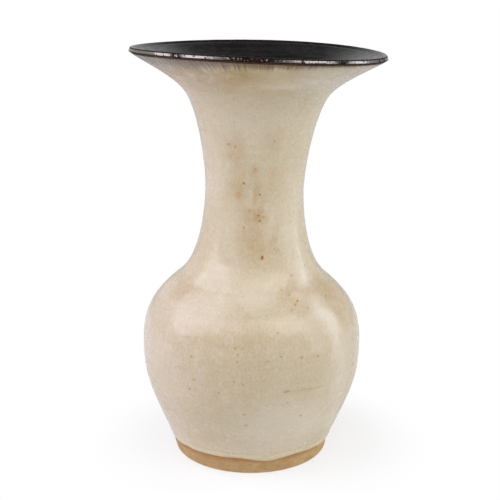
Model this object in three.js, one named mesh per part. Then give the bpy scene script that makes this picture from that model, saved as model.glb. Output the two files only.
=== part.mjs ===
// A wheel-thrown stoneware vase, in millimetres, +Z up, standing on z = 0.
// It was thrown as separate sections and joined with slip: a foot ring, the lower and upper halves of the
// bulb, a neck and a flared mouth. A cream glaze covers the outside down to the bare foot, a dark glaze
// lines the inside, and a dark metallic glaze binds the lip.
import * as THREE from "three";

// The form, measured over the glaze
const height = 280;
const footTopRadius = 56.9;
const footTaper = 3.4;
const footRadius = footTopRadius - footTaper;
const footHeight = 10.7;
const bellyRadius = 76.1;
const bellyHeight = 78;
const shoulderRadius = 52;
const shoulderHeight = 126;
const waistRadius = 33.5;
const waistHeight = 188;
const kneeRadius = 48.6;
const mouthDepth = 27.5;
const kneeHeight = height - mouthDepth;
const lipRadius = 85;

// How steeply the outline runs, as radius gained for each mm of height
const footFlare = 0.4;
const shoulderFlare = -1.21;
const kneeFlare = 0.77;
const lipFlare = 1.06;

// How long the outline keeps its direction below and above each of those places
const footPull = 38;
const bellyPull = { below: 25, above: 21 };
const shoulderPull = { below: 25, above: 22 };
const waistPull = { below: 10, above: 16 };
const kneePull = { below: 15, above: 13.5 };
const lipPull = 6;

// Clay walls, thinning as they rise
const footWall = 7;
const bellyWall = 5.6;
const shoulderWall = 5;
const kneeWall = 3.8;
const lipWall = 1.5;
const floorThickness = 7;
const floorCorner = 8;
const footRingWidth = 9;
const footRingTopWidth = 11.6;
const footEdgeBevel = 1.2;

// Joining slip and glazes
const slipThickness = 0.8;
const creamThickness = 0.5;
const darkThickness = 0.5;
const rimThickness = 0.5;
const rimBandDepth = 2;
const rollHeight = 7;
const rollThickness = 0.45;
const seatGap = 0.3;

// What the maker's hand left: the neck drifts towards +X, and the lip isn't quite flat
const mouthDrift = 5.16;
const driftPower = 1.66;
const lipWarp = 1;
const lipWarpTurn = THREE.MathUtils.degToRad(71);
const lipWarpReach = 40;

// Facets
const turns = 36;
const bodySpacing = 12;
const neckSpacing = 14;
const mouthSpacing = 7;
const noseSteps = 4;
const rollSteps = 3;
const cornerSteps = 3;

const creamInset = creamThickness + seatGap;
const lipBuild = creamInset + lipWall + seatGap + darkThickness;
const point = (radius, z) => new THREE.Vector2(radius, z);

// The outline, foot to lip, as five curves that meet smoothly
const heading = (flare) => point(flare, 1).normalize();
const lipEdge = point(lipRadius, height - lipBuild / 2 - (lipBuild / 2) * heading(lipFlare).x);
const places = [
  { at: point(footTopRadius, footHeight), along: heading(footFlare), below: 0, above: footPull },
  { at: point(bellyRadius, bellyHeight), along: heading(0), ...bellyPull },
  { at: point(shoulderRadius, shoulderHeight), along: heading(shoulderFlare), ...shoulderPull },
  { at: point(waistRadius, waistHeight), along: heading(0), ...waistPull },
  { at: point(kneeRadius, kneeHeight), along: heading(kneeFlare), ...kneePull },
  { at: lipEdge, along: heading(lipFlare), below: lipPull, above: 0 },
];
const curves = places.slice(1).map((next, i) => {
  const last = places[i];
  const leaving = last.at.clone().addScaledVector(last.along, last.above);
  const arriving = next.at.clone().addScaledVector(next.along, -next.below);
  return new THREE.CubicBezierCurve(last.at, leaving, arriving, next.at);
});

// A thrown section covers one or two of the curves, and its wall thins from its foot to its top
const sections = [
  { name: "lower_bowl", curves: [curves[0]], walls: [footWall, bellyWall], spacing: bodySpacing },
  { name: "shoulder", curves: [curves[1]], walls: [bellyWall, shoulderWall], spacing: bodySpacing },
  { name: "neck", curves: [curves[2], curves[3]], walls: [shoulderWall, kneeWall], spacing: neckSpacing },
  { name: "flared_mouth", curves: [curves[4]], walls: [kneeWall, lipWall], spacing: mouthSpacing },
];

// A station is a place on the outline: where it is, which way is outwards, and how thick the clay is there
function stationAt(path, walls, distance) {
  const share = distance / path.getLength();
  const tangent = path.getTangentAt(share);
  return {
    at: path.getPointAt(share),
    out: point(tangent.y, -tangent.x),
    wall: THREE.MathUtils.lerp(walls[0], walls[1], share),
  };
}

function stationsOf(section, isFirst, isLast) {
  const path = new THREE.CurvePath();
  section.curves.forEach((curve) => path.add(curve));
  const length = path.getLength();
  const joint = slipThickness / 2 + seatGap;
  const start = isFirst ? 0 : joint;
  const end = length - (isLast ? rimBandDepth + seatGap : joint);
  const steps = Math.round((end - start) / section.spacing);
  const clay = Array.from({ length: steps + 1 }, (_, i) =>
    stationAt(path, section.walls, start + ((end - start) * i) / steps),
  );
  if (isLast) {
    clay.push(stationAt(path, section.walls, length - rimBandDepth));
    clay.push(stationAt(path, section.walls, length));
  }
  const slipBelow = isFirst ? null : stationAt(path, section.walls, slipThickness / 2);
  const slipAbove = isLast ? null : stationAt(path, section.walls, length - slipThickness / 2);
  return { name: section.name, clay, slipBelow, slipAbove };
}

const built = sections.map((section, i) => stationsOf(section, i === 0, i === sections.length - 1));
const clayStations = built.flatMap(({ clay }) => clay);
const [bandStart, lip] = clayStations.slice(-2);
const coatStations = clayStations.slice(0, -2);

const inset = (station, depth) => station.at.clone().addScaledVector(station.out, -depth);
const clayOutside = (station) => inset(station, creamInset);
const clayInside = (station, beyond = 0) => inset(station, creamInset + station.wall + beyond);

// The inside of the bowl: across the floor, round its corner and up the wall
const floorTop = footHeight + floorThickness;
const wallFrom = coatStations.findIndex((s) => clayInside(s).y > floorTop + floorCorner / 2);
function insideProfile(beyond, stations) {
  const level = floorTop + beyond;
  const wall = stations.slice(wallFrom).map((s) => clayInside(s, beyond));
  const cornerRadius = clayInside(stations[wallFrom]).x;
  const floorEnd = point(cornerRadius - floorCorner, level);
  const corner = new THREE.QuadraticBezierCurve(floorEnd, point(cornerRadius - beyond, level), wall[0]);
  return [point(0, level), ...corner.getPoints(cornerSteps).slice(0, -1), ...wall];
}

// Turns a closed profile about Z, then gives it the drift and the warp
function turned(profile) {
  const geometry = new THREE.LatheGeometry(profile, turns);
  geometry.rotateX(Math.PI / 2);
  geometry.scale(1, -1, 1);
  const index = geometry.index.array;
  for (let i = 0; i < index.length; i += 3) {
    [index[i + 1], index[i + 2]] = [index[i + 2], index[i + 1]];
  }
  const position = geometry.attributes.position;
  for (let i = 0; i < position.count; i++) {
    const vertex = new THREE.Vector3().fromBufferAttribute(position, i);
    const shaped = handShaped(vertex);
    position.setXYZ(i, shaped.x, shaped.y, shaped.z);
  }
  geometry.computeVertexNormals();
  return geometry;
}

function handShaped({ x, y, z }) {
  const rise = height - footHeight;
  const share = Math.max((z - footHeight) / rise, 0);
  const lean = share > 0 ? ((driftPower * mouthDrift) / rise) * share ** (driftPower - 1) : 0;
  const drift = mouthDrift * share ** driftPower;
  const near = THREE.MathUtils.clamp(1 - (height - z) / lipWarpReach, 0, 1) ** 2;
  const warped = z + lipWarp * near * Math.cos(2 * (Math.atan2(y, x) - lipWarpTurn));
  return new THREE.Vector3(x * Math.cos(lean) + drift, y, warped - x * Math.sin(lean));
}

const closed = (points) => [...points, points[0].clone()];

// Materials
const clay = new THREE.MeshStandardMaterial({ color: 0xc39a6e, roughness: 0.9, metalness: 0 });
const slip = new THREE.MeshStandardMaterial({ color: 0xb58c62, roughness: 0.95, metalness: 0 });
const cream = new THREE.MeshStandardMaterial({ color: 0xd2c5ae, roughness: 0.35, metalness: 0 });
const dark = new THREE.MeshStandardMaterial({ color: 0x2b2927, roughness: 0.45, metalness: 0.1 });
const bronze = new THREE.MeshStandardMaterial({ color: 0x3a2a22, roughness: 0.2, metalness: 0.4 });

const vase = new THREE.Group();
function add(name, profile, material) {
  const mesh = new THREE.Mesh(turned(profile), material);
  mesh.name = name;
  vase.add(mesh);
}

// The foot ring, turned and left bare, and the slip that holds it to the bowl
function addFoot() {
  const slipBottom = footHeight - slipThickness;
  const topRadius = footTopRadius - creamInset;
  const lean = (topRadius - footRadius) / footHeight;
  const outsideAt = (z) => point(footRadius + lean * z, z);
  const insideAt = (z) =>
    point(outsideAt(z).x - THREE.MathUtils.lerp(footRingWidth, footRingTopWidth, z / footHeight), z);
  const ring = [
    point(insideAt(0).x + footEdgeBevel, 0),
    point(footRadius - footEdgeBevel, 0),
    outsideAt(footEdgeBevel),
    outsideAt(slipBottom),
    insideAt(slipBottom),
    insideAt(footEdgeBevel),
  ];
  const joint = [
    insideAt(slipBottom),
    outsideAt(slipBottom),
    outsideAt(footHeight),
    insideAt(footHeight),
  ];
  add("foot_ring", closed(ring), clay);
  add("foot_joint_slip", closed(joint), slip);
}

// The lower bowl has a floor, and the sections above it are open rings
function addSections() {
  const [bowl, ...rings] = built;
  const bowlProfile = [
    point(0, footHeight),
    point(footTopRadius - creamInset, footHeight),
    ...bowl.clay.slice(1).map(clayOutside),
    ...insideProfile(0, bowl.clay).reverse(),
  ];
  add(bowl.name, bowlProfile, clay);
  rings.slice(0, -1).forEach(({ name, clay: stations }) => {
    add(name, closed([...stations.map(clayOutside), ...stations.map((s) => clayInside(s)).reverse()]), clay);
  });
  const mouth = rings.at(-1);
  const nose = noseRound(lipWall / 2);
  const mouthProfile = [
    ...mouth.clay.slice(0, -1).map(clayOutside),
    ...nose,
    ...mouth.clay.slice(0, -1).map((s) => clayInside(s)).reverse(),
  ];
  add(mouth.name, closed(mouthProfile), clay);
}

// A half round at the end of the wall, from its outer side over the top to its inner side
function noseRound(radius) {
  const centre = inset(lip, creamInset + lipWall / 2);
  const ahead = point(-lip.out.y, lip.out.x);
  return Array.from({ length: noseSteps + 1 }, (_, i) => {
    const turn = (Math.PI * i) / noseSteps;
    return centre
      .clone()
      .addScaledVector(lip.out, radius * Math.cos(turn))
      .addScaledVector(ahead, radius * Math.sin(turn));
  });
}

// Thin rings of slip where one thrown section was joined to the next
function addJoints() {
  const names = ["belly_joint_slip", "neck_joint_slip", "mouth_joint_slip"];
  names.forEach((name, i) => {
    const pair = [built[i].slipAbove, built[i + 1].slipBelow];
    add(name, closed([...pair.map(clayOutside), ...pair.map((s) => clayInside(s)).reverse()]), slip);
  });
}

// The cream coat runs from a thick roll above the foot to just under the lip
function addCream() {
  const roll = Array.from({ length: rollSteps + 1 }, (_, i) => {
    const share = i / rollSteps;
    const station = stationAt(curves[0], sections[0].walls, rollHeight * share);
    return inset(station, -rollThickness * Math.sqrt(1 - share ** 2));
  });
  const outside = [...roll, ...coatStations.slice(1).map((s) => inset(s, 0))];
  const inside = coatStations.map((s) => inset(s, creamThickness)).reverse();
  add("cream_glaze", closed([...outside, ...inside]), cream);
}

// The dark lining is a thin cup that follows the inside of the clay
function addLining() {
  const side = (beyond) => insideProfile(beyond, coatStations);
  add("dark_glaze_lining", [...side(seatGap), ...side(seatGap + darkThickness).reverse()], dark);
}

// The rim band wraps the lip from the outside over the top to the inside
function addRimBand() {
  const wrap = (beyond) => [
    inset(bandStart, creamInset - beyond),
    ...noseRound(lipWall / 2 + beyond),
    clayInside(bandStart, beyond),
  ];
  add("rim_glaze_band", closed([...wrap(seatGap + rimThickness), ...wrap(seatGap).reverse()]), bronze);
}

addFoot();
addSections();
addJoints();
addCream();
addLining();
addRimBand();

// The origin is on the surface it stands on, under the middle of its box
const box = new THREE.Box3().setFromObject(vase);
vase.position.set(-(box.min.x + box.max.x) / 2, -(box.min.y + box.max.y) / 2, 0);

export default vase;
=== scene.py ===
import math

import bmesh
import bpy
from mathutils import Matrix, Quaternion, Vector, noise
from mathutils.geometry import interpolate_bezier


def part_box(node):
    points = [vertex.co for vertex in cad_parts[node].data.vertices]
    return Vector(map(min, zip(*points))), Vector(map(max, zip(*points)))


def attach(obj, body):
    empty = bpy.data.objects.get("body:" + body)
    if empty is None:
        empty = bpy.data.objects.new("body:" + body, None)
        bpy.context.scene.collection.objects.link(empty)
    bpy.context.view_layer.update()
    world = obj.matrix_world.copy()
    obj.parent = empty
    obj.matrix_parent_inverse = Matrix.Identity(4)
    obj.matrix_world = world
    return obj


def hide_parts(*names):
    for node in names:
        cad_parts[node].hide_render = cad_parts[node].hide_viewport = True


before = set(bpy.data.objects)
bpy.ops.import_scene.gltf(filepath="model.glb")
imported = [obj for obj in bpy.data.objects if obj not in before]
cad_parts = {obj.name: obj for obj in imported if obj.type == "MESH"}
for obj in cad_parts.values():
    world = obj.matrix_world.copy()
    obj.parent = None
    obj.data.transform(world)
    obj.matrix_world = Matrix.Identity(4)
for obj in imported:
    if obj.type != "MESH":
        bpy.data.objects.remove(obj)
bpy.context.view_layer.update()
mm = 0.001

# The thrown form in millimetres, measured from the foot's own axis. It is the CAD source's outline.
form = {
    "foot": {"radius": 53.5, "height": 10.7, "ringWidth": 9, "ringTopWidth": 11.6, "bevel": 1.2},
    "places": [
        {"radius": 56.9, "height": 10.7, "flare": 0.4, "below": 0, "above": 38},
        {"radius": 76.1, "height": 78, "flare": 0, "below": 25, "above": 21},
        {"radius": 52, "height": 126, "flare": -1.21, "below": 25, "above": 22},
        {"radius": 33.5, "height": 188, "flare": 0, "below": 10, "above": 16},
        {"radius": 48.6, "height": 252.5, "flare": 0.77, "below": 15, "above": 13.5},
        {"radius": 85, "height": 277.32, "flare": 1.06, "below": 6, "above": 0},
    ],
    "walls": [7, 5.6, 5, 4.4, 3.8, 1.5],
    "floorTop": 17.7,
    "floorCorner": 8,
    "coat": 0.5,
    "gap": 0.3,
    "slip": 0.8,
}

# How finely the turned pieces are made: points on each stretch of the curve, mm between stations, which of
# them a hidden back uses, and steps round
fineness = {
    "curvePoints": 120, "spacing": 1.2, "fineSpacing": 0.2, "backEvery": 4,
    "round": 240, "lipRound": 720, "footRound": 256,
}

# What the hand does to it: the neck drifts, the lip tips with it and is a little out of true
hand = {
    "drift": 5.16, "power": 1.66, "top": 280,
    "rise": 0.45, "warp": 1, "warpTurn": 71, "tip": 0.8, "warpReach": 40,
}

# Rings that the fingers leave, and slow lumps in the wall
throwing = {
    "ringDepth": 0.09, "ringSpacing": 7, "ringWander": 0.6, "ringSharpness": 1.6,
    "lump": 0.22, "lumpSize": 55, "lumpPlace": (3.1, 7.7, 1.3),
}

# The lower edge of the cream glaze: its rise above the foot line, the share, count and place of its ripples,
# and its dips, each with its direction in degrees, its height in mm and its width in degrees
glazeEdge = {
    "rise": 1.1, "ripple": 0.5, "fadeBy": 12, "pinch": 0.55, "pinchBy": 16,
    "ripples": [(1, 2.2, 4.2), (0.4, 9, 1.2), (0.25, 30, 6.1)],
    "dips": [
        (-80, -2.4, 11), (-57, 0.5, 7), (-100, 1.3, 20), (-153, -0.8, 8), (-140, 0.35, 6), (-18, -2.2, 20),
    ],
}


def heading(flare):
    return Vector((flare, 0, 1)).normalized()


def arcLengths(points):
    lengths = [0]
    for last, point in zip(points, points[1:]):
        lengths.append(lengths[-1] + (point - last).length)
    return lengths


def resampled(points, spacing):
    lengths = arcLengths(points)
    count = round(lengths[-1] / spacing)
    even, i = [], 0
    for step in range(count + 1):
        target = lengths[-1] * step / count
        while i < len(points) - 2 and lengths[i + 1] < target:
            i += 1
        even.append(points[i].lerp(points[i + 1], (target - lengths[i]) / (lengths[i + 1] - lengths[i])))
    return even


# The outline as points in the XZ plane, with the wall's thickness and the distance along it at each point
def makeOutline(spacing):
    places = [dict(place, at=Vector((place["radius"], 0, place["height"]))) for place in form["places"]]
    fine = []
    for low, high in zip(places, places[1:]):
        leaving = low["at"] + heading(low["flare"]) * low["above"]
        arriving = high["at"] - heading(high["flare"]) * high["below"]
        curve = interpolate_bezier(low["at"], leaving, arriving, high["at"], fineness["curvePoints"])
        fine += curve[:-1] if high is not places[-1] else curve
    points = resampled(fine, spacing)
    lengths = arcLengths(points)
    outline = []
    for i, point in enumerate(points):
        tangent = (points[min(i + 1, len(points) - 1)] - points[max(i - 1, 0)]).normalized()
        out = Vector((tangent.z, 0, -tangent.x))
        outline.append({"at": point, "out": out, "along": lengths[i], "wall": wallAt(point.z)})
    return outline


def wallAt(z):
    heights = [place["height"] for place in form["places"]]
    for i in range(len(heights) - 1):
        if z <= heights[i + 1]:
            share = (z - heights[i]) / (heights[i + 1] - heights[i])
            return form["walls"][i] + (form["walls"][i + 1] - form["walls"][i]) * share
    return form["walls"][-1]


outline = makeOutline(fineness["spacing"])
outlineLength = outline[-1]["along"]
clayDepth = form["coat"] + form["gap"]
tiny = 0.001


def offset(station, depth):
    return station["at"] - station["out"] * depth


def insideDepth(station):
    return clayDepth + station["wall"] + form["gap"]


# Moves a point of the turned form to where the maker's hand put it
def handShaped(point):
    x, y, z = point
    rise = hand["top"] - form["foot"]["height"]
    share = max((z - form["foot"]["height"]) / rise, 0)
    lean = hand["power"] * hand["drift"] / rise * share ** (hand["power"] - 1) if share > 0 else 0
    near = min(max(1 - (hand["top"] - z) / hand["warpReach"], 0), 1) ** 2
    turn = math.atan2(y, x)
    warp = hand["warp"] * math.cos(2 * (turn - math.radians(hand["warpTurn"]))) - hand["tip"] * math.sin(turn)
    warped = z + near * (hand["rise"] + warp)
    drift = hand["drift"] * share ** hand["power"]
    return Vector((x * math.cos(lean) + drift, y, warped - x * math.sin(lean)))


# Finger rings and lumps push the wall in and out, the same on every layer of it
def thrown(point, reach=1):
    radius = math.hypot(point.x, point.y)
    if radius < tiny:
        return point
    turn = math.atan2(point.y, point.x)
    spiral = point.z / throwing["ringSpacing"] + turn / math.tau
    wander = throwing["ringWander"]
    ringPlace = (math.cos(turn) * wander, math.sin(turn) * wander, spiral * throwing["ringSharpness"])
    ring = noise.noise(Vector(ringPlace))
    lump = noise.noise(point / throwing["lumpSize"] + Vector(throwing["lumpPlace"]))
    push = (ring * throwing["ringDepth"] + lump * throwing["lump"]) * reach
    outward = Vector((point.x, point.y, 0)) / radius
    return point + outward * push


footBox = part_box("foot_ring")
footAxis = (footBox[0].x + footBox[1].x) / 2 / mm


# Spins a profile of (place, distance along) about Z, shapes it by hand and makes it an object in metres.
# One wedge is spun and then copied round, which is quicker than a full spin.
def turnPiece(name, profile, steps, shape, closed=True, node=None):
    wedges, centre, up = 12, (0, 0, 0), (0, 0, 1)
    mesh = bmesh.new()
    along = mesh.verts.layers.float.new("along")
    verts = []
    for place, distance in profile:
        vert = mesh.verts.new(place)
        vert[along] = distance * mm
        verts.append(vert)
    ends = verts[1:] + verts[:1] if closed else verts[1:]
    edges = [mesh.edges.new(pair) for pair in zip(verts, ends)]
    wedge = math.tau / wedges
    bmesh.ops.spin(mesh, geom=verts + edges, cent=centre, axis=up, angle=wedge, steps=steps // wedges)
    whole = mesh.verts[:] + mesh.edges[:] + mesh.faces[:]
    bmesh.ops.spin(
        mesh, geom=whole, cent=centre, axis=up, angle=math.tau - wedge, steps=wedges - 1, use_duplicate=True
    )
    bmesh.ops.remove_doubles(mesh, verts=mesh.verts, dist=tiny)
    bmesh.ops.recalc_face_normals(mesh, faces=mesh.faces)
    for vert in mesh.verts:
        vert.co = (handShaped(shape(vert.co.copy(), vert[along] / mm)) + Vector((footAxis, 0, 0))) * mm
    for face in mesh.faces:
        face.smooth = True
    piece = bpy.data.objects.new(name, bpy.data.meshes.new(name))
    mesh.to_mesh(piece.data)
    mesh.free()
    bpy.context.scene.collection.objects.link(piece)
    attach(piece, "root")
    if node:
        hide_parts(*node)
    print(name, len(piece.data.polygons), "faces")
    return piece


def edgeRise(turn):
    degrees = math.degrees(turn)
    rise = glazeEdge["rise"]
    for share, count, place in glazeEdge["ripples"]:
        rippled = noise.noise(Vector((math.cos(turn) * count, math.sin(turn) * count, place)))
        rise += share * glazeEdge["ripple"] * rippled
    for middle, height, width in glazeEdge["dips"]:
        away = (degrees - middle + 180) % 360 - 180
        rise += height * math.exp(-((away / width) ** 2))
    return rise


# The cream coat: its lower edge wanders and swells into a roll, with a groove above it, where the glaze ran
# and stopped. The coat's back lies a little inside the gap, out of sight.
roll = {
    "height": 5.8, "thickness": 0.44, "edgeRound": 1.1, "groove": 0.16, "grooveWidth": 1.6,
    "fineAbove": 4, "backSink": 0.1,
}


def shapeCoat(point, along):
    turn = math.atan2(point.y, point.x)
    fade = max(1 - max(along, 0) / glazeEdge["fadeBy"], 0)
    lift = edgeRise(turn) * fade * fade
    pinch = glazeEdge["pinch"] * max(1 - max(along, 0) / glazeEdge["pinchBy"], 0) ** 2
    outward = Vector((point.x, point.y, 0)) / math.hypot(point.x, point.y)
    point = point + Vector((0, 0, lift)) + outward * (lift * form["places"][0]["flare"] - pinch)
    return thrown(point)


def rollAt(along):
    up = along / roll["height"]
    if up < 1:
        rounding = math.sqrt(1 - (1 - min(along / roll["edgeRound"], 1)) ** 2)
        return roll["thickness"] * math.sqrt(1 - up * up) * rounding - form["coat"] * (1 - rounding)
    past = (along - roll["height"]) / roll["grooveWidth"]
    return -roll["groove"] * math.exp(-(past ** 2))


def makeCoat():
    stations = [s for s in outline if s["along"] < outlineLength - rim["lapUnder"]]
    fineEnd = roll["height"] + roll["fineAbove"]
    nearFoot = [s for s in makeOutline(fineness["fineSpacing"]) if s["along"] < fineEnd]
    above = [s for s in stations if s["along"] >= fineEnd]
    outside = [(offset(s, -rollAt(s["along"])), s["along"]) for s in nearFoot + above]
    hidden = stations[::fineness["backEvery"]]
    inside = [(offset(s, form["coat"] + roll["backSink"]), s["along"]) for s in hidden]
    profile = outside + inside[::-1]
    return turnPiece(
        "creamCoat", profile, fineness["round"], shapeCoat, node=["cream_glaze"]
    )


def shapeThrown(point, along):
    return thrown(point)


# The clay of the flared mouth, tipped with its coats so that it stays between them
def makeMouth():
    knee = form["places"][-2]["height"] + form["slip"] / 2 + form["gap"]
    stations = [s for s in outline if s["at"].z > knee]
    outside = [(offset(s, clayDepth), s["along"]) for s in stations]
    inside = [(offset(s, clayDepth + s["wall"]), s["along"]) for s in stations]
    profile = outside + inside[::-1]
    return turnPiece(
        "mouthClay", profile, fineness["round"], shapeThrown, node=["flared_mouth"]
    )


# The dark lining: a thin cup from the floor to just below the lip, with a rounded corner at the floor
cup = {"belowLip": 2.3, "cornerReach": 3, "cornerSlope": 1, "cornerPoints": 8, "floorStep": 6}


def makeLining():
    def side(depth, every):
        stations = [s for s in outline if s["along"] < outlineLength - cup["belowLip"]][::every]
        wall = [(offset(s, insideDepth(s) + depth), s["along"]) for s in stations]
        floor = form["floorTop"] + form["gap"] + depth
        wall = [w for w in wall if w[0].z > floor + form["floorCorner"]]
        first = wall[0][0]
        floorEnd = first.x - form["floorCorner"]
        corner = interpolate_bezier(
            Vector((floorEnd, 0, floor)), Vector((first.x - cup["cornerReach"], 0, floor)),
            Vector((first.x - cup["cornerSlope"], 0, floor + cup["cornerReach"])), first, cup["cornerPoints"],
        )[:-1]
        middle = [Vector((radius, 0, floor)) for radius in range(0, int(floorEnd), cup["floorStep"])]
        return [(point, 0) for point in middle + list(corner)] + wall

    profile = side(form["coat"], 1) + side(0, fineness["backEvery"])[::-1]
    return turnPiece(
        "darkLining", profile, fineness["round"], shapeThrown, closed=False,
        node=["dark_glaze_lining"],
    )


# The glaze that binds the lip: a thick glossy band, squared a little in section and leaning back to face the
# light, pitted and waved along the way it points, with an edge that wavers
rim = {
    "reach": 0.3, "inReach": 2.4, "proud": 0.06, "sunk": 0.12, "legEnd": 0.1, "back": -0.35,
    "noseReach": 0.58, "squareness": 0.72, "lean": -0.28, "noseSteps": 24, "lapUnder": 0.25,
    "pit": 0.05, "pitSize": 1.8, "finerShare": 0.5, "finerPits": 2.3, "wave": 0.12, "waveSize": 9,
    "pointsOut": 0.73, "pointsUp": 0.68, "waver": 0.15, "waverCount": 22, "waverPlace": 0.7, "waverWay": -0.7,
}
lipHalf = form["walls"][-1] / 2 + form["gap"] + form["coat"]


def shapeRim(point, along):
    turn = math.atan2(point.y, point.x)
    point = thrown(point)
    outward = Vector((math.cos(turn), math.sin(turn), 0))
    up = Vector((0, 0, 1))
    pitted = point / rim["pitSize"]
    pit = noise.noise(pitted) + rim["finerShare"] * noise.noise(pitted * rim["finerPits"])
    wave = noise.noise(point / rim["waveSize"]) * rim["wave"] * along / lipHalf
    past = min(max(abs(along) - lipHalf, 0) / rim["reach"], 1)
    count = rim["waverCount"]
    waver = noise.noise(Vector((math.cos(turn) * count, math.sin(turn) * count, rim["waverPlace"])))
    ahead = outward * rim["pointsOut"] + up * rim["pointsUp"]
    pushed = ahead * (pit * rim["pit"] + wave) * (1 - past)
    return point + pushed + (outward + up) * rim["waverWay"] * waver * rim["waver"] * past


def makeRim():
    lipStation = outline[-1]
    centre = offset(lipStation, lipHalf)
    ahead = Vector((-lipStation["out"].z, 0, lipStation["out"].x))
    fine = [s for s in makeOutline(fineness["fineSpacing"]) if s["along"] < outlineLength - rim["legEnd"]]
    outer = [s for s in fine if s["along"] > outlineLength - rim["reach"]]
    inner = [s for s in fine if s["along"] > outlineLength - rim["inReach"]]

    def skin(proud):
        def taper(s, reach):
            share = (outlineLength - s["along"]) / reach
            return proud * (1 - share ** 3) - rim["sunk"] * share ** 3

        outLeg = [(offset(s, -taper(s, rim["reach"])), s["along"] - outlineLength - lipHalf) for s in outer]
        nose = []
        for i in range(rim["noseSteps"] + 1):
            turn = math.pi * i / rim["noseSteps"]
            sideways = math.copysign(abs(math.cos(turn)) ** rim["squareness"], math.cos(turn))
            leaning = rim["lean"] * sideways * math.sin(turn)
            forward = rim["noseReach"] * math.sin(turn) ** rim["squareness"] + leaning
            point = centre + (lipStation["out"] * sideways + ahead * forward) * (lipHalf + proud)
            nose.append((point, -lipHalf * math.cos(turn)))
        inLeg = []
        for s in reversed(inner):
            depth = insideDepth(s) + form["coat"] + taper(s, rim["inReach"])
            inLeg.append((offset(s, depth), outlineLength - s["along"] + lipHalf))
        return outLeg + nose + inLeg

    profile = skin(rim["proud"]) + skin(rim["back"])[::-1]
    return turnPiece(
        "lipGlaze", profile, fineness["lipRound"], shapeRim, node=["rim_glaze_band"]
    )


# The bare clay foot: a turned ring, pinched in and a little off centre at its top, and the skirt of clay
# above it that shows under the glaze's edge
bareFoot = {
    "pinch": 0.5, "shift": 0.35, "lumps": 0.6,
    "flats": (1.5, 3, 4.5), "step": 0.5, "rounding": 0.4, "edgePoints": 6,
    "innerTopHeight": 1, "innerKnee": 2, "innerRounding": 0.3,
    "skirtDepth": 0.5, "skirtBack": 0.75, "skirtFrom": 0.5, "skirtTo": 7, "skirtStep": 1,
}


def shapeFoot(point, along):
    share = min(max(point.z / form["foot"]["height"], 0), 1)
    outward = Vector((point.x, point.y, 0)) / math.hypot(point.x, point.y)
    pinched = outward * bareFoot["pinch"] * share * share + Vector((bareFoot["shift"] * share, 0, 0))
    return thrown(point - pinched, bareFoot["lumps"] * share)


def makeFoot():
    foot = form["foot"]
    radius, height, bevel = foot["radius"], foot["height"], foot["bevel"]
    innerLow = radius - foot["ringWidth"]
    innerTop = form["places"][0]["radius"] - clayDepth - foot["ringTopWidth"]
    slope = (form["places"][0]["radius"] - bareFoot["skirtDepth"] - radius) / height
    rounding, innerRounding = bevel * bareFoot["rounding"], bevel * bareFoot["innerRounding"]
    flat = [Vector((innerLow + bevel + past, 0, 0)) for past in (0, *bareFoot["flats"])]
    edge = interpolate_bezier(
        Vector((radius - bevel, 0, 0)), Vector((radius - rounding, 0, 0)),
        Vector((radius, 0, rounding)), Vector((radius + slope * bevel, 0, bevel)), bareFoot["edgePoints"],
    )
    steps = round((height - bevel) / bareFoot["step"])
    heights = [bevel + bareFoot["step"] * i for i in range(1, steps + 1)]
    outer = [Vector((radius + slope * z, 0, z)) for z in heights]
    low, high = bareFoot["skirtFrom"], bareFoot["skirtTo"]
    skirt = [s for s in makeOutline(bareFoot["skirtStep"]) if low < s["along"] < high]
    skirtOutside = [offset(s, bareFoot["skirtDepth"]) for s in skirt]
    skirtInside = [offset(s, bareFoot["skirtBack"]) for s in skirt]
    inner = [
        Vector((innerTop, 0, height)), Vector((innerTop, 0, height - bareFoot["innerTopHeight"])),
        Vector((innerLow, 0, bevel * bareFoot["innerKnee"])), Vector((innerLow, 0, bevel)),
        Vector((innerLow + innerRounding, 0, innerRounding)),
    ]
    profile = [(point, point.z) for point in flat + edge + outer + skirtOutside + skirtInside[::-1] + inner]
    return turnPiece(
        "bareFoot", profile, fineness["footRound"], shapeFoot,
        node=["foot_ring", "foot_joint_slip"],
    )


# An sRGB hex colour as the linear colour that the nodes take
def paint(hexColour):
    channels = [int(hexColour[i:i + 2], 16) / 255 for i in (1, 3, 5)]
    return (*[c / 12.92 if c <= 0.04045 else ((c + 0.055) / 1.055) ** 2.4 for c in channels], 1)


# Adds a node with its settings, its values and its links
def addNode(tree, kind, settings=None, inputs=None):
    node = tree.nodes.new("ShaderNode" + kind)
    for name, value in (settings or {}).items():
        setattr(node, name, value)
    for socket, value in (inputs or {}).items():
        if isinstance(value, bpy.types.NodeSocket):
            tree.links.new(value, node.inputs[socket])
        else:
            node.inputs[socket].default_value = value
    return node


# A new material, with its nodes, its surface node and the place of each point in metres
def newMaterial(name, values):
    material = bpy.data.materials.new(name)
    material.use_nodes = True
    tree = material.node_tree
    surface = tree.nodes["Principled BSDF"]
    for socket, value in values.items():
        surface.inputs[socket].default_value = value
    where = addNode(tree, "TexCoord").outputs["Object"]
    return material, tree, surface, where


eased = {"interpolation_type": "SMOOTHSTEP"}


# Clouds of a real size in mm, stretched along Z, that run from 0 to 1 between two values of their noise. Each
# size is shifted by its own amount, so that clouds of two sizes don't line up.
def clouds(tree, where, size, stretch=1, detail=3, low=0.35, high=0.65):
    scale = 1 / (size * mm)
    placed = addNode(tree, "Mapping", None, {
        "Vector": where, "Location": (size, size, size), "Scale": (scale, scale, scale / stretch),
    })
    noisy = addNode(tree, "TexNoise", None, {"Vector": placed.outputs[0], "Scale": 1, "Detail": detail})
    cloud = addNode(tree, "MapRange", eased, {"Value": noisy.outputs[0], "From Min": low, "From Max": high})
    return cloud.outputs[0]


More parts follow.
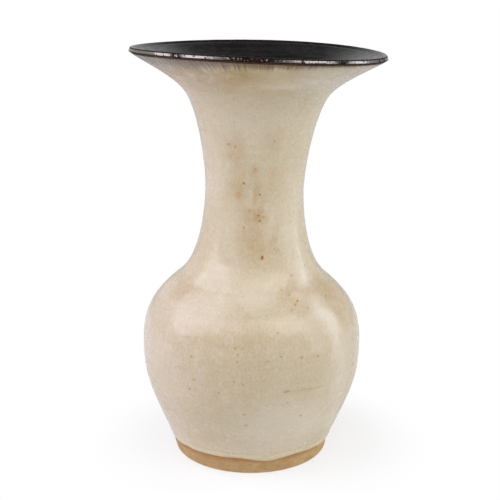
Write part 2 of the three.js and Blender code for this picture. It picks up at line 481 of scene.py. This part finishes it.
# Washes a tone over a colour, by an amount and only where every mask lets it
def wash(tree, colour, tone, amount, *masks):
    share = amount
    for mask in masks:
        masked = addNode(tree, "Math", {"operation": "MULTIPLY", "use_clamp": True}, {0: mask, 1: share})
        share = masked.outputs[0]
    return addNode(tree, "Mix", {"data_type": "RGBA"}, {0: share, 6: colour, 7: paint(tone)}).outputs[2]


# Specks strewn in cells, as a mask and a random value for each: the given share of the cells holds one, up to
# the given radius, with a soft edge. Cells, radii and edges are in mm.
def strewn(tree, where, cell, share, radius, soft):
    cells = addNode(tree, "TexVoronoi", None, {"Vector": where, "Scale": 1 / (cell * mm)})
    chance = addNode(tree, "SeparateColor", None, {0: cells.outputs["Color"]})
    reach = addNode(tree, "MapRange", None, {
        "Value": chance.outputs[0], "From Min": 1 - share, "To Max": radius / cell,
    })
    inside = addNode(tree, "Math", {"operation": "SUBTRACT"}, {
        0: reach.outputs[0], 1: cells.outputs["Distance"],
    })
    speck = addNode(tree, "MapRange", eased, {"Value": inside.outputs[0], "From Max": soft / cell})
    return speck.outputs[0], chance.outputs[1]


# A soft oval on the front of the vase, from its middle and its reach in mm, across and up. It fades in between
# two shares of that reach.
def frontPatch(tree, flat, x, z, wide, high, outer=1.4, inner=0.3):
    placed = addNode(tree, "Mapping", None, {
        "Vector": flat, "Location": (-x / wide, 0, -z / high), "Scale": (1 / (wide * mm), 1, 1 / (high * mm)),
    })
    reach = addNode(tree, "VectorMath", {"operation": "LENGTH"}, {0: placed.outputs[0]}).outputs["Value"]
    return addNode(tree, "MapRange", eased, {"Value": reach, "From Min": outer, "From Max": inner}).outputs[0]


# How far each point of the front lies from the nearest of some spots, up to a metre
def nearestSpot(tree, flat, spots):
    nearest = 1
    for x, z in spots:
        reach = addNode(tree, "VectorMath", {"operation": "DISTANCE"}, {0: flat, 1: (x * mm, 0, z * mm)})
        closer = addNode(tree, "Math", {"operation": "MINIMUM"}, {0: reach.outputs["Value"], 1: nearest})
        nearest = closer.outputs[0]
    return nearest


# Roughness that drifts between two values in clouds
def driftingRoughness(tree, where, smoothest, roughest, **cloud):
    cloudy = clouds(tree, where, **cloud)
    rough = addNode(tree, "MapRange", None, {"Value": cloudy, "To Min": smoothest, "To Max": roughest})
    return rough.outputs[0]


# Fine bumps all over a surface, by their size and depth in mm
def addRelief(tree, surface, where, size, depth, detail):
    bumps = addNode(tree, "TexNoise", None, {"Vector": where, "Scale": 1 / (size * mm), "Detail": detail})
    bump = addNode(tree, "Bump", None, {"Strength": 1, "Distance": depth * mm, "Height": bumps.outputs[0]})
    tree.links.new(bump.outputs[0], surface.inputs["Normal"])


# Tones and sizes of the cream glaze. Sizes and places are in mm. "from" and "to" say where a tone begins and
# where it is full, and an amount of 1 covers what is below it.
glaze = {
    # Pinker on the left and greener on the right: painted light, as the cool lamp on the left tints that side
    "left": "#d6c4b1", "right": "#cbbda1", "leftEnd": -80, "rightEnd": 10, "frontBy": 5,
    "layers": [
        {"size": 30, "stretch": 1.3, "detail": 5, "tone": "#bdab86", "amount": 0.3},
        {"size": 17, "stretch": 1.5, "detail": 4, "tone": "#ddd0be", "amount": 0.22},
        {"size": 1.7, "stretch": 1.3, "detail": 3, "tone": "#b6994f", "amount": 0.26},
        {"size": 1.3, "stretch": 1.2, "detail": 3, "tone": "#ebdcd2", "amount": 0.2},
        {"size": 6, "stretch": 1.6, "detail": 4, "tone": "#bfa67a", "amount": 0.14},
        {"size": 2.5, "stretch": 12, "detail": 2, "tone": "#b9a783", "amount": 0.12},
        {"size": 90, "stretch": 0.03, "detail": 2, "tone": "#b8a684", "amount": 0.12},
    ],
    "stain": "#b08a52",
    "drift": {"size": 4.5, "stretch": 1.8, "detail": 4, "low": 0.18, "high": 0.6},
    "wander": {"size": 8, "push": 8},
    "stains": [
        (-16.3, 220.3, 8, 12, 0.34), (-14.5, 191.9, 7, 9, 0.34), (-13.5, 190.4, 3, 3, 0.3),
        (-15.2, 180.6, 6, 7, 0.16), (-2.1, 206.6, 2.4, 4.5, 0.4), (-13, 207, 6, 24, 0.16),
        (-16, 103, 32, 8, 0.2), (18, 106, 26, 6, 0.08), (26, 126, 14, 10, 0.14), (8, 214, 7, 26, 0.12),
        (-1.1, 193.8, 2.6, 7.5, 0.45), (-0.1, 185.8, 3.6, 7, 0.3), (-2.7, 175.1, 9, 6, 0.5),
        (2.5, 174.4, 3.6, 4.5, 0.35), (-4, 159.5, 13, 16, 0.36), (2.6, 161.9, 7, 15, 0.08),
        (9.4, 225.8, 7, 10, 0.28), (13.2, 152, 2.2, 4, 0.35), (9.2, 158.8, 4.5, 4.5, 0.25),
        (-52, 122.5, 8, 7, 0.3), (-46, 127, 7, 4, 0.16), (38, 126.8, 8, 6, 0.45), (46, 120.5, 8, 7, 0.5),
        (55, 111, 6, 10, 0.35), (-42, 268, 34, 12, 0.6), (-58, 272, 18, 9, 0.75), (-16, 270, 16, 7, 0.35),
        (48, 101, 14, 8, 0.2), (-22, 72, 22, 22, 0.14), (20, 131, 12, 8, 0.14),
    ],
    "backStain": {"amount": 0.4, "clouds": {"size": 26, "stretch": 2, "low": 0.55, "high": 0.75}},
    # Lighter patches on the front in the pale tone: some are paler glaze, and the row from (25, 139) down to
    # (51, 29) is a painted highlight, the reflection of the lamps at the right
    "highlightAndPaleTone": "#ebe2d2",
    "runs": [
        (-4, 126, 18, 9, 0.3), (-23, 182, 12, 36, 0.14), (19, 180, 11, 34, 0.11), (25, 139, 4, 6, 0.12),
        (29, 133, 4, 6, 0.16), (33, 127.5, 4, 6, 0.18), (37, 122, 4, 6, 0.2), (40.5, 116.5, 4, 6, 0.2),
        (44, 111, 4, 6, 0.2), (47, 105.5, 4, 6, 0.2), (50, 99.5, 4, 7, 0.2), (52.5, 92, 4, 8, 0.18),
        (54, 78, 6.5, 15, 0.18), (53.5, 55, 6.5, 16, 0.22), (51, 29, 6.5, 15, 0.22), (13, 262, 12, 2, 0.3),
        (34, 264.6, 12, 2, 0.3), (0, 235, 30, 26, 0.22), (4.6, 168, 5, 14, 0.22), (28, 270, 24, 9, 0.12),
        (16, 42, 34, 20, 0.36), (-2, 20, 34, 8, 0.15),
    ],
    "smearTone": "#a18058",
    "smear": [(18, 67.9, 2.6, 1.1, 0.6), (28.5, 67.2, 4, 0.7, 0.35), (36.5, 66.6, 6, 0.6, 0.4)],
    "fineWander": {"size": 2.2, "push": 1.9},
    "strewn": [
        {
            "specks": {"cell": 2.6, "share": 0.5, "radius": 0.75, "soft": 0.3},
            "amount": 0.62, "tones": ("#c08f48", "#b4a663"),
        },
        {
            "specks": {"cell": 5.2, "share": 0.6, "radius": 0.72, "soft": 0.35},
            "amount": 0.9, "tones": ("#bb8038", "#b09450"),
        },
        {
            "specks": {"cell": 11, "share": 0.5, "radius": 0.8, "soft": 0.4},
            "amount": 0.85, "tones": ("#9f6224", "#8b7c62"),
        },
    ],
    "spots": [
        {"radius": 0.56, "tone": "#87501a", "amount": 1, "halo": "#b88a48", "places": [
            (-9.7, 197.1), (0.7, 189.5), (-0.2, 175.5), (0.5, 171.8), (2.2, 148.7), (2.3, 148), (2.2, 147.3),
        ]},
        {"radius": 0.5, "tone": "#a46a30", "amount": 0.75, "halo": "#bf9c66", "places": [
            (-15.1, 221.2), (12.1, 106.5), (25.2, 121.6), (23.8, 120.1), (21.7, 135.3), (-9.5, 167.7),
            (5.7, 89.5), (-13.5, 93.8),
        ]},
        {"radius": 0.6, "tone": "#b08040", "amount": 0.6, "halo": "#c2a26c", "places": [
            (-13.3, 190.4), (-1, 194.5), (-2.1, 206.6), (10, 224.9), (-19.5, 222.7), (-6.3, 178.4),
            (3.2, 174.3), (20, 125.4), (15, 128.5), (21.3, 117.5), (32.1, 117.2), (-14, 89.3), (-43.7, 89),
            (-42.4, 73.6), (-45.3, 66.3), (-8.3, 42.8), (-9.3, 52), (-15.2, 98), (27.7, 89.7), (38.3, 88.5),
            (27.6, 47.2),
        ]},
        {"radius": 0.5, "tone": "#8b7962", "amount": 0.6, "halo": "#b5a58b", "places": [
            (-15.9, 75.9), (-10.3, 74.4), (18.6, 59.6), (63.6, 89.3), (64.9, 70.8), (14.1, 92.1),
            (-25.9, 67), (45, 119.5),
        ]},
    ],
    "spotHalo": {"from": 2.8, "to": 1, "amount": 0.45}, "spotCore": {"from": 1.2, "to": 0.7},
    "khaki": {
        "tone": "#9a854f", "amount": 0.8, "from": 32, "to": 8,
        "sideways": {"From Min": 0.95, "From Max": 0.62, "To Min": 0.4},
        "clouds": {"size": 32, "detail": 2, "low": 0.3, "high": 0.55},
    },
    "hairs": {
        "tone": "#46301f", "amount": 0.88, "count": 62, "leftEnd": -60, "rightEnd": 40,
        "shortest": (12, 3.6), "longest": (26, 6), "lengths": {"From Min": 0.36, "From Max": 0.66},
        "depths": {"From Min": 0.35, "From Max": 0.65, "To Min": 0.55}, "fullBy": 0.3,
    },
    "underLip": {"tone": "#64432a", "amount": 0.34, "from": 9, "to": 0.5},
    "patchy": {"size": 11, "stretch": 0.5, "low": 0.3, "high": 0.6},
    "roll": {"tone": "#dccfa6", "amount": 0.45, "from": 1.2 * roll["height"], "to": 0.8 * roll["height"]},
    "groove": {"tone": "#a5946f", "amount": 0.2, "middle": 1.05 * roll["height"], "from": 1.1, "to": 0.2},
    # Painted shade on the lower side of the roll, where it curves under
    "rollUnderShade": {"tone": "#b09458", "amount": 0.5, "from": 3.2, "to": 0.4},
    "edge": {"tone": "#a07a4e", "amount": 0.8, "from": 0.8, "to": 0.1},
    "roughness": {"smoothest": 0.18, "roughest": 0.29, "size": 9},
    "peel": {"size": 1.7, "depth": 0.01, "detail": 2},
}


# Iron-speckled feldspar glaze, dipped and fired to satin: milky and softly mottled, rusty where iron shows
def makeCreamGlaze():
    material, tree, surface, where = newMaterial("creamSatinGlaze", {"IOR": 1.58})
    split = addNode(tree, "SeparateXYZ", None, {0: where})
    along = addNode(tree, "Attribute", {"attribute_name": "along"}).outputs["Fac"]
    halfway = glaze["frontBy"] * mm
    front = addNode(tree, "MapRange", eased, {
        "Value": split.outputs[1], "From Min": halfway, "From Max": -halfway,
    }).outputs[0]
    across = addNode(tree, "MapRange", eased, {
        "Value": split.outputs[0], "From Min": glaze["leftEnd"] * mm, "From Max": glaze["rightEnd"] * mm,
    })
    # Painted light: the cool lamp's tint on the left, washed over to a greener right
    colour = wash(tree, paint(glaze["left"]), glaze["right"], 1, across.outputs[0])
    for layer in glaze["layers"]:
        mask = clouds(tree, where, layer["size"], layer["stretch"], layer["detail"])
        colour = wash(tree, colour, layer["tone"], layer["amount"], mask)

    # Coordinates for the front's marks: flattened along Y, and pushed about so that no mark is a clean round
    def flattened(size, push):
        noisy = addNode(tree, "TexNoise", None, {"Vector": where, "Scale": 1 / (size * mm), "Detail": 3})
        centred = addNode(tree, "VectorMath", {"operation": "SUBTRACT"}, {
            0: noisy.outputs["Color"], 1: (0.5, 0.5, 0.5),
        })
        pushed = addNode(tree, "VectorMath", {"operation": "MULTIPLY_ADD"}, {
            0: centred.outputs[0], 1: (push * mm, push * mm, push * mm), 2: where,
        })
        flat = addNode(tree, "VectorMath", {"operation": "MULTIPLY"}, {0: pushed.outputs[0], 1: (1, 0, 1)})
        return flat.outputs[0]

    flat = flattened(**glaze["wander"])
    drifting = clouds(tree, where, **glaze["drift"])
    for x, z, wide, high, amount in glaze["stains"]:
        patch = frontPatch(tree, flat, x, z, wide, high)
        colour = wash(tree, colour, glaze["stain"], amount, patch, front, drifting)
    # Paler glaze, and the painted highlight down the right side
    for x, z, wide, high, amount in glaze["runs"]:
        colour = wash(tree, colour, glaze["highlightAndPaleTone"], amount, frontPatch(tree, flat, x, z, wide, high), front)
    back = addNode(tree, "Math", {"operation": "SUBTRACT"}, {0: 1, 1: front}).outputs[0]
    backStain = glaze["backStain"]
    stained = clouds(tree, where, **backStain["clouds"])
    colour = wash(tree, colour, glaze["stain"], backStain["amount"], stained, drifting, back)

    # The olive tinge below the lip, strongest in the middle
    fromLip = addNode(tree, "Math", {"operation": "SUBTRACT"}, {0: outlineLength * mm, 1: along}).outputs[0]
    hairs = glaze["hairs"]
    side = addNode(tree, "MapRange", None, {
        "Value": split.outputs[0], "From Min": hairs["leftEnd"] * mm, "From Max": hairs["rightEnd"] * mm,
    }).outputs[0]
    khaki = glaze["khaki"]
    tinge = addNode(tree, "MapRange", eased, {
        "Value": fromLip, "From Min": khaki["from"] * mm, "From Max": khaki["to"] * mm,
    })
    central = addNode(tree, "MapRange", None, {"Value": side, **khaki["sideways"]})
    patches = clouds(tree, where, **khaki["clouds"])
    colour = wash(
        tree, colour, khaki["tone"], khaki["amount"], tinge.outputs[0], central.outputs[0], patches
    )

    # The brown hairs that ran down from the lip, each with its own length and depth
    level = addNode(tree, "VectorMath", {"operation": "MULTIPLY"}, {0: where, 1: (1, 1, 0)})
    around = addNode(tree, "VectorMath", {"operation": "NORMALIZE"}, {0: level.outputs[0]})
    strands = addNode(tree, "TexNoise", None, {
        "Vector": around.outputs[0], "Scale": hairs["count"], "Detail": 3,
    }).outputs[0]
    ends = []
    for left, right in (hairs["shortest"], hairs["longest"]):
        end = addNode(tree, "MapRange", None, {"Value": side, "To Min": left * mm, "To Max": right * mm})
        ends.append(end.outputs[0])
    reach = addNode(tree, "MapRange", None, {
        "Value": strands, **hairs["lengths"], "To Min": ends[0], "To Max": ends[1],
    }).outputs[0]
    past = addNode(tree, "Math", {"operation": "DIVIDE", "use_clamp": True}, {0: fromLip, 1: reach}).outputs[0]
    strand = addNode(tree, "MapRange", eased, {"Value": past, "From Min": 1, "From Max": hairs["fullBy"]})
    depth = addNode(tree, "MapRange", None, {"Value": strands, **hairs["depths"]})
    colour = wash(tree, colour, hairs["tone"], hairs["amount"], strand.outputs[0], depth.outputs[0])
    lipLine = glaze["underLip"]
    binding = addNode(tree, "MapRange", eased, {
        "Value": fromLip, "From Min": lipLine["from"] * mm, "From Max": lipLine["to"] * mm,
    })
    colour = wash(tree, colour, lipLine["tone"], lipLine["amount"], binding.outputs[0])

    # Random flecks, each a mix of two tones, and then the listed marks
    for flecks in glaze["strewn"]:
        speck, chance = strewn(tree, where, **flecks["specks"])
        rest = addNode(tree, "Math", {"operation": "SUBTRACT"}, {0: 1, 1: chance}).outputs[0]
        for tone, share in zip(flecks["tones"], (chance, rest)):
            colour = wash(tree, colour, tone, flecks["amount"], speck, share)
    flat = flattened(**glaze["fineWander"])
    for x, z, wide, high, amount in glaze["smear"]:
        patch = frontPatch(tree, flat, x, z, wide, high)
        colour = wash(tree, colour, glaze["smearTone"], amount, patch, front)
    for family in glaze["spots"]:
        nearest = nearestSpot(tree, flat, family["places"])
        masks = []
        for fade in (glaze["spotHalo"], glaze["spotCore"]):
            outer, inner = fade["from"] * family["radius"] * mm, fade["to"] * family["radius"] * mm
            mask = addNode(tree, "MapRange", eased, {"Value": nearest, "From Min": outer, "From Max": inner})
            masks.append(mask.outputs[0])
        colour = wash(tree, colour, family["halo"], glaze["spotHalo"]["amount"], masks[0], front)
        colour = wash(tree, colour, family["tone"], family["amount"], masks[1], front)

    # The lower edge: a creamy roll, a shadow in the groove above it, painted shade below it where the roll
    # curves under, and rust at the very edge
    patchy = clouds(tree, where, **glaze["patchy"])
    middle = glaze["groove"]["middle"] * mm
    pastGroove = addNode(tree, "Math", {"operation": "SUBTRACT"}, {0: along, 1: middle}).outputs[0]
    fromGroove = addNode(tree, "Math", {"operation": "ABSOLUTE"}, {0: pastGroove}).outputs[0]
    for band, distance, masks in (
        (glaze["roll"], along, [patchy]), (glaze["groove"], fromGroove, [patchy]),
        (glaze["rollUnderShade"], along, [patchy]), (glaze["edge"], along, []),
    ):
        fade = addNode(tree, "MapRange", eased, {
            "Value": distance, "From Min": band["from"] * mm, "From Max": band["to"] * mm,
        })
        colour = wash(tree, colour, band["tone"], band["amount"], fade.outputs[0], *masks)
    tree.links.new(colour, surface.inputs["Base Color"])

    rough = driftingRoughness(tree, where, **glaze["roughness"])
    tree.links.new(rough, surface.inputs["Roughness"])
    addRelief(tree, surface, where, **glaze["peel"])
    return material


lining = {
    "deep": "#1a1918", "worn": {"tone": "#242120", "clouds": {"size": 20, "detail": 4}},
    "brushed": {"tone": "#34302d", "amount": 0.3, "clouds": {"size": 50, "stretch": 0.02, "detail": 2}},
    "roughness": {"smoothest": 0.2, "roughest": 0.32, "size": 6, "stretch": 0.3},
    "peel": {"size": 1.6, "depth": 0.012, "detail": 2},
}


# Charcoal glaze, poured and swirled round the inside: near black with a soft grey sheen and faint rings
def makeDarkGlaze():
    material, tree, surface, where = newMaterial("charcoalSatinGlaze", {"IOR": 1.55})
    worn, brushed = lining["worn"], lining["brushed"]
    colour = wash(tree, paint(lining["deep"]), worn["tone"], 1, clouds(tree, where, **worn["clouds"]))
    colour = wash(tree, colour, brushed["tone"], brushed["amount"], clouds(tree, where, **brushed["clouds"]))
    tree.links.new(colour, surface.inputs["Base Color"])
    rough = driftingRoughness(tree, where, **lining["roughness"])
    tree.links.new(rough, surface.inputs["Roughness"])
    addRelief(tree, surface, where, **lining["peel"])
    return material


# The lip's glaze. Its bands lie between distances in mm across the lip, measured from its middle and negative
# on the outside. It is rusty where it is thin and where it is crusted.
lip = {
    "luster": "#fff1eb", "thick": "#0f0c0b", "ior": 3.0,
    "amber": {"tone": "#1f1511", "amount": 0.8, "clouds": {"size": 4, "detail": 4}},
    "flecks": {"cell": 1.9, "share": 0.35, "radius": 0.7, "soft": 0.4},
    "fleckTone": "#6a4022", "fleckAmount": 0.8,
    "fleckClouds": {"size": 14, "detail": 2, "low": 0.4, "high": 0.6},
    "clots": [(-50, 4.5), (-31, 0.8), (-3.4, 26), (25.2, 1), (50, 5), (77, 5)],
    "clotClouds": {"size": 1.5, "low": 0.3, "high": 0.5},
    "mattClouds": {"size": 1.1, "detail": 2, "low": 0.55, "high": 0.66},
    "rust": "#3a2014",
    "thin": {
        "from": -1.4, "to": -1.5,
        "amount": 0.8, "clouds": {"size": 1.6, "detail": 2, "low": 0.25, "high": 0.6},
    },
    "crust": {
        "middle": -0.43, "from": 0.42, "to": 0.66, "roughness": 0.6, "ior": 1.15,
        "amount": 0.5, "clouds": {"size": 1.2, "detail": 2, "low": 0.55, "high": 0.7},
    },
    "lap": {"from": -1.55, "to": -1.65, "tone": "#5f4935", "roughness": 0.28, "ior": 1.58},
    "inner": {"from": 0.6, "to": 1.3, "tone": "#1f1d1b", "roughness": 0.26, "ior": 1.55},
    "roughness": {"smoothest": 0.04, "roughest": 0.12, "size": 2.5},
    "pits": {"size": 1.6, "depth": 0.07, "detail": 3},
}


# Iron-rich glaze banded on the lip: glassy bronze-black where thick, rust where it thins, with burst pits
def makeRimGlaze():
    material, tree, surface, where = newMaterial("bronzeBlackLipGlaze", {
        "Specular Tint": paint(lip["luster"]),
    })
    along = addNode(tree, "Attribute", {"attribute_name": "along"}).outputs["Fac"]
    amber, crust = lip["amber"], lip["crust"]
    colour = wash(
        tree, paint(lip["thick"]), amber["tone"], amber["amount"], clouds(tree, where, **amber["clouds"])
    )
    fleck = strewn(tree, where, **lip["flecks"])[0]
    patchy = clouds(tree, where, **lip["fleckClouds"])
    colour = wash(tree, colour, lip["fleckTone"], lip["fleckAmount"], fleck, patchy)

    # Where the face is matt: at the flecks, in small patches, and in clots along the front
    flat = addNode(tree, "VectorMath", {"operation": "MULTIPLY"}, {0: where, 1: (1, 0, 0)}).outputs[0]
    clotted = clouds(tree, where, **lip["clotClouds"])
    patches = clouds(tree, where, **lip["mattClouds"])
    matt = addNode(tree, "Math", {"operation": "MAXIMUM"}, {0: fleck, 1: patches}).outputs[0]
    for x, wide in lip["clots"]:
        patch = frontPatch(tree, flat, x, 0, wide, 1)
        clot = addNode(tree, "Math", {"operation": "MULTIPLY"}, {0: clotted, 1: patch})
        matt = addNode(tree, "Math", {"operation": "MAXIMUM"}, {0: matt, 1: clot.outputs[0]}).outputs[0]

    # The bands across the lip, each as a mask
    away = addNode(tree, "Math", {"operation": "SUBTRACT"}, {0: along, 1: crust["middle"] * mm}).outputs[0]
    away = addNode(tree, "Math", {"operation": "ABSOLUTE"}, {0: away}).outputs[0]
    masks = {}
    for name, distance in {"thin": along, "crust": away, "lap": along, "inner": along}.items():
        mask = addNode(tree, "MapRange", eased, {
            "Value": distance, "From Min": lip[name]["from"] * mm, "From Max": lip[name]["to"] * mm,
        })
        masks[name] = mask.outputs[0]
    for name in ("thin", "crust"):
        rusted = clouds(tree, where, **lip[name]["clouds"])
        colour = wash(tree, colour, lip["rust"], lip[name]["amount"], masks[name], rusted)
    for name in ("lap", "inner"):
        colour = wash(tree, colour, lip[name]["tone"], 1, masks[name])
    tree.links.new(colour, surface.inputs["Base Color"])

    rough = driftingRoughness(tree, where, **lip["roughness"])
    sheen = lip["ior"]
    masks["crust"] = addNode(tree, "Math", {"operation": "MAXIMUM"}, {0: masks["crust"], 1: matt}).outputs[0]
    for name in ("crust", "lap", "inner"):
        rough = addNode(tree, "Mix", None, {0: masks[name], 2: rough, 3: lip[name]["roughness"]}).outputs[0]
        sheen = addNode(tree, "Mix", None, {0: masks[name], 2: sheen, 3: lip[name]["ior"]}).outputs[0]
    tree.links.new(rough, surface.inputs["Roughness"])
    tree.links.new(sheen, surface.inputs["IOR"])
    addRelief(tree, surface, where, **lip["pits"])
    return material


clay = {
    "left": "#bb9a72", "right": "#bc9e6e", "leftEnd": -60, "rightEnd": 30,
    "worn": {"tone": "#a67f52", "amount": 0.45, "clouds": {"size": 9, "stretch": 0.6, "detail": 4}},
    "layers": [
        {"tone": "#7d5530", "amount": 0.3, "clouds": {"size": 1.2, "stretch": 0.4, "low": 0.45, "high": 0.7}},
        {"tone": "#d8bd92", "amount": 0.25, "clouds": {"size": 7, "stretch": 0.12, "low": 0.45, "high": 0.65}},
    ],
    "grains": {"cell": 1.5, "share": 0.45, "radius": 0.42, "soft": 0.25},
    "grainTone": "#7d5530", "grainAmount": 0.75,
    "toast": {"tone": "#ad7444", "amount": 0.6, "from": 7, "to": 11.5},
    "toolLines": (12, 12, 1400), "sandSize": 0.6, "relief": 0.12, "reliefStrength": 0.6,
}


# Bare buff stoneware, turned leather-hard on the wheel: matt and sandy, toasted orange beside the glaze
def makeBareClay():
    material, tree, surface, where = newMaterial("bareStoneware", {
        "Roughness": 0.88, "IOR": 1.45, "Specular IOR Level": 0.3,
    })
    split = addNode(tree, "SeparateXYZ", None, {0: where})
    across = addNode(tree, "MapRange", eased, {
        "Value": split.outputs[0], "From Min": clay["leftEnd"] * mm, "From Max": clay["rightEnd"] * mm,
    })
    colour = wash(tree, paint(clay["left"]), clay["right"], 1, across.outputs[0])
    worn, toast = clay["worn"], clay["toast"]
    colour = wash(tree, colour, worn["tone"], worn["amount"], clouds(tree, where, **worn["clouds"]))
    grain = strewn(tree, where, **clay["grains"])[0]
    colour = wash(tree, colour, clay["grainTone"], clay["grainAmount"], grain)
    for layer in clay["layers"]:
        colour = wash(tree, colour, layer["tone"], layer["amount"], clouds(tree, where, **layer["clouds"]))
    toasted = addNode(tree, "MapRange", eased, {
        "Value": split.outputs[2], "From Min": toast["from"] * mm, "From Max": toast["to"] * mm,
    })
    colour = wash(tree, colour, toast["tone"], toast["amount"], toasted.outputs[0])
    tree.links.new(colour, surface.inputs["Base Color"])
    turned = addNode(tree, "Mapping", None, {"Vector": where, "Scale": clay["toolLines"]})
    lines = addNode(tree, "TexNoise", None, {"Vector": turned.outputs[0], "Scale": 1, "Detail": 3})
    fine = 1 / (clay["sandSize"] * mm)
    sand = addNode(tree, "TexNoise", None, {"Vector": where, "Scale": fine, "Detail": 3})
    height = addNode(tree, "Math", {"operation": "ADD"}, {0: lines.outputs[0], 1: sand.outputs[0]})
    bump = addNode(tree, "Bump", None, {
        "Strength": clay["reliefStrength"], "Distance": clay["relief"] * mm, "Height": height.outputs[0],
    })
    tree.links.new(bump.outputs[0], surface.inputs["Normal"])
    return material


coatPiece = makeCoat()
liningPiece = makeLining()
lipPiece = makeRim()
footPiece = makeFoot()
mouthPiece = makeMouth()
print("pieces made")

bareClay = makeBareClay()
coatPiece.data.materials.append(makeCreamGlaze())
liningPiece.data.materials.append(makeDarkGlaze())
lipPiece.data.materials.append(makeRimGlaze())
footPiece.data.materials.append(bareClay)
mouthPiece.data.materials.append(bareClay)
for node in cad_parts.values():
    if not node.hide_render:
        node.data.materials.clear()
        node.data.materials.append(bareClay)
print("materials made")

# The camera that the photograph was taken with, as fitted to its outline, in mm and degrees
view = {"x": -0.6, "y": -708.6, "z": 336.4, "down": 15.265, "lens": 76.25, "clipStart": 10}
camera = bpy.data.objects.new("camera", bpy.data.cameras.new("camera"))
camera.location = Vector((footAxis + view["x"], view["y"], view["z"])) * mm
camera.rotation_euler = (math.radians(90 - view["down"]), 0, 0)
camera.data.lens = view["lens"]
camera.data.clip_start = view["clipStart"] * mm
bpy.context.scene.collection.objects.link(camera)
bpy.context.scene.camera = camera

# White paper floor. A shadow falls on it near the vase, and farther off it is plain white to the camera. It
# begins a little in front of the vase and runs far back.
paperSheet = {
    "half": 3, "front": -0.08, "shadowReach": (0.06, 0.13), "wash": (0.65, 1),
    "tone": "#fafafa", "roughness": 0.9,
}
floor = bpy.data.objects.new("floor", bpy.data.meshes.new("floor"))
sheet = bmesh.new()
bmesh.ops.create_grid(sheet, x_segments=1, y_segments=1, size=paperSheet["half"])
bmesh.ops.translate(sheet, verts=sheet.verts, vec=(0, paperSheet["half"] + paperSheet["front"], 0))
sheet.to_mesh(floor.data)
sheet.free()
bpy.context.scene.collection.objects.link(floor)
paper, tree, surface, where = newMaterial("whitePaper", {
    "Base Color": paint(paperSheet["tone"]), "Roughness": paperSheet["roughness"],
})
floor.data.materials.append(paper)
rays = addNode(tree, "LightPath")
distance = addNode(tree, "VectorMath", {"operation": "LENGTH"}, {0: where}).outputs["Value"]
nearBy, farOff = paperSheet["shadowReach"]
faint, gone = paperSheet["wash"]
far = addNode(tree, "MapRange", eased, {
    "Value": distance, "From Min": nearBy, "From Max": farOff, "To Min": faint, "To Max": gone,
})
seen = addNode(tree, "Math", {"operation": "MULTIPLY"}, {0: far.outputs[0], 1: rays.outputs["Is Camera Ray"]})
glow = addNode(tree, "Emission", None, {"Color": (1, 1, 1, 1)})
blank = addNode(tree, "MixShader", None, {0: seen.outputs[0], 1: surface.outputs[0], 2: glow.outputs[0]})
tree.links.new(blank.outputs[0], tree.nodes["Material Output"].inputs["Surface"])

# The studio, plain white to the camera. To everything else it is white behind the vase up to the top of the
# backdrop, and white well below it in front, where the paper lies. Above the paper the room in front is dim,
# and the ceiling is dark. The soft values are how far each border fades to either side of it.
room = {
    "white": 0.76, "dim": 0.62, "backdropTop": 0.6, "paperBelow": -0.2, "dimTop": 0.68,
    "sideSoft": 0.05, "borderSoft": 0.15, "topSoft": 0.1,
}
world = bpy.context.scene.world or bpy.data.worlds.new("world")
bpy.context.scene.world = world
world.use_nodes = True
sky = world.node_tree
background = sky.nodes["Background"]
skyRays = addNode(sky, "LightPath")
facing = addNode(sky, "SeparateXYZ", None, {0: addNode(sky, "TexCoord").outputs["Generated"]})
behind = addNode(sky, "MapRange", eased, {
    "Value": facing.outputs[1], "From Min": -room["sideSoft"], "From Max": room["sideSoft"],
    "To Min": room["paperBelow"], "To Max": room["backdropTop"],
})
under = addNode(sky, "Math", {"operation": "SUBTRACT"}, {0: behind.outputs[0], 1: facing.outputs[2]})
studio = addNode(sky, "MapRange", eased, {
    "Value": under.outputs[0], "From Min": -room["borderSoft"], "From Max": room["borderSoft"],
    "To Max": room["white"],
})
dim = addNode(sky, "MapRange", eased, {
    "Value": facing.outputs[2], "From Min": room["dimTop"] + room["topSoft"],
    "From Max": room["dimTop"] - room["topSoft"], "To Max": room["dim"],
})
inFront = addNode(sky, "MapRange", eased, {
    "Value": facing.outputs[1], "From Min": room["sideSoft"], "From Max": -room["sideSoft"],
    "To Max": dim.outputs[0],
})
studio = addNode(sky, "Math", {"operation": "MAXIMUM"}, {0: studio.outputs[0], 1: inFront.outputs[0]})
strength = addNode(sky, "Mix", None, {0: skyRays.outputs["Is Camera Ray"], 2: studio.outputs[0], 3: 1})
sky.links.new(strength.outputs[0], background.inputs["Strength"])
background.inputs["Color"].default_value = (1, 1, 1, 1)

# Soft studio lamps: where each stands, its size in metres, its turn about its own axis, its power and tint.
# All of them face one point inside the vase.
lampAim = Vector((0, 0, 0.13))
lamps = {
    "leftSoftbox": {
        "at": (-1.05, -0.2, 1.02), "size": (1.4, 1.25), "turn": 38, "power": 15.2, "tint": "#ebedff",
    },
    "rightSoftbox": {
        "at": (0.8, -0.62, 1.1), "size": (0.65, 0.75), "turn": 0, "power": 3.6, "tint": "#ffffff",
    },
    "rightPanel": {"at": (1.3, -0.2, 0.6), "size": (1, 1.2), "turn": 0, "power": 5.2, "tint": "#e7f0ff"},
    "rightStrip": {"at": (1.25, 0.3, 0.85), "size": (0.3, 2.1), "turn": 0, "power": 4.2, "tint": "#e9f4ff"},
    "frontSoftbox": {"at": (0, -1.05, 1.28), "size": (1.8, 0.7), "turn": 0, "power": 5.6, "tint": "#ffffff"},
}
for name, lamp in lamps.items():
    light = bpy.data.objects.new(name, bpy.data.lights.new(name, "AREA"))
    light.data.shape = "RECTANGLE"
    light.data.size, light.data.size_y = lamp["size"]
    light.data.energy = lamp["power"]
    light.data.color = paint(lamp["tint"])[:3]
    light.location = lamp["at"]
    aim = (Vector(lamp["at"]) - lampAim).to_track_quat("Z", "Y")
    turn = Quaternion((0, 0, 1), math.radians(lamp["turn"]))
    light.rotation_euler = (aim @ turn).to_euler()
    bpy.context.scene.collection.objects.link(light)
bpy.context.scene.view_settings.view_transform = "Standard"
print("stage set")
